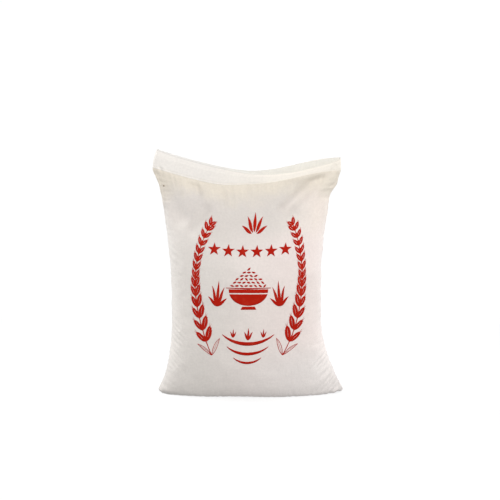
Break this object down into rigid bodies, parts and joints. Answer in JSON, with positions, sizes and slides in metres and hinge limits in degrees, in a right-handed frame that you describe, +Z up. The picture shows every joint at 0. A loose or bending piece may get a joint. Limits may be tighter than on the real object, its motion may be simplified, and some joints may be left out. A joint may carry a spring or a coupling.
{
  "type": "rice sack",
  "caption": "Filled cotton rice sack standing upright, with a hemmed mouth pressed shut, side seams, flared corners and a red printed front.",
  "frame": {"origin": "on the floor under the middle of the standing sack", "axes": "+Z up through the mouth, +X along the flat width towards the right-hand side seam as the printed front is seen, -Y out of the printed front"},
  "size_m": [0.3755, 0.162, 0.483],
  "materials": {
    "unbleached_cotton": "plain-weave unbleached cotton, matt",
    "red_print": "red screen-print ink soaked into the cotton, matt"
  },
  "bodies": {
    "root": {"rice_sack": "unbleached_cotton"}
  },
  "joints": []
}
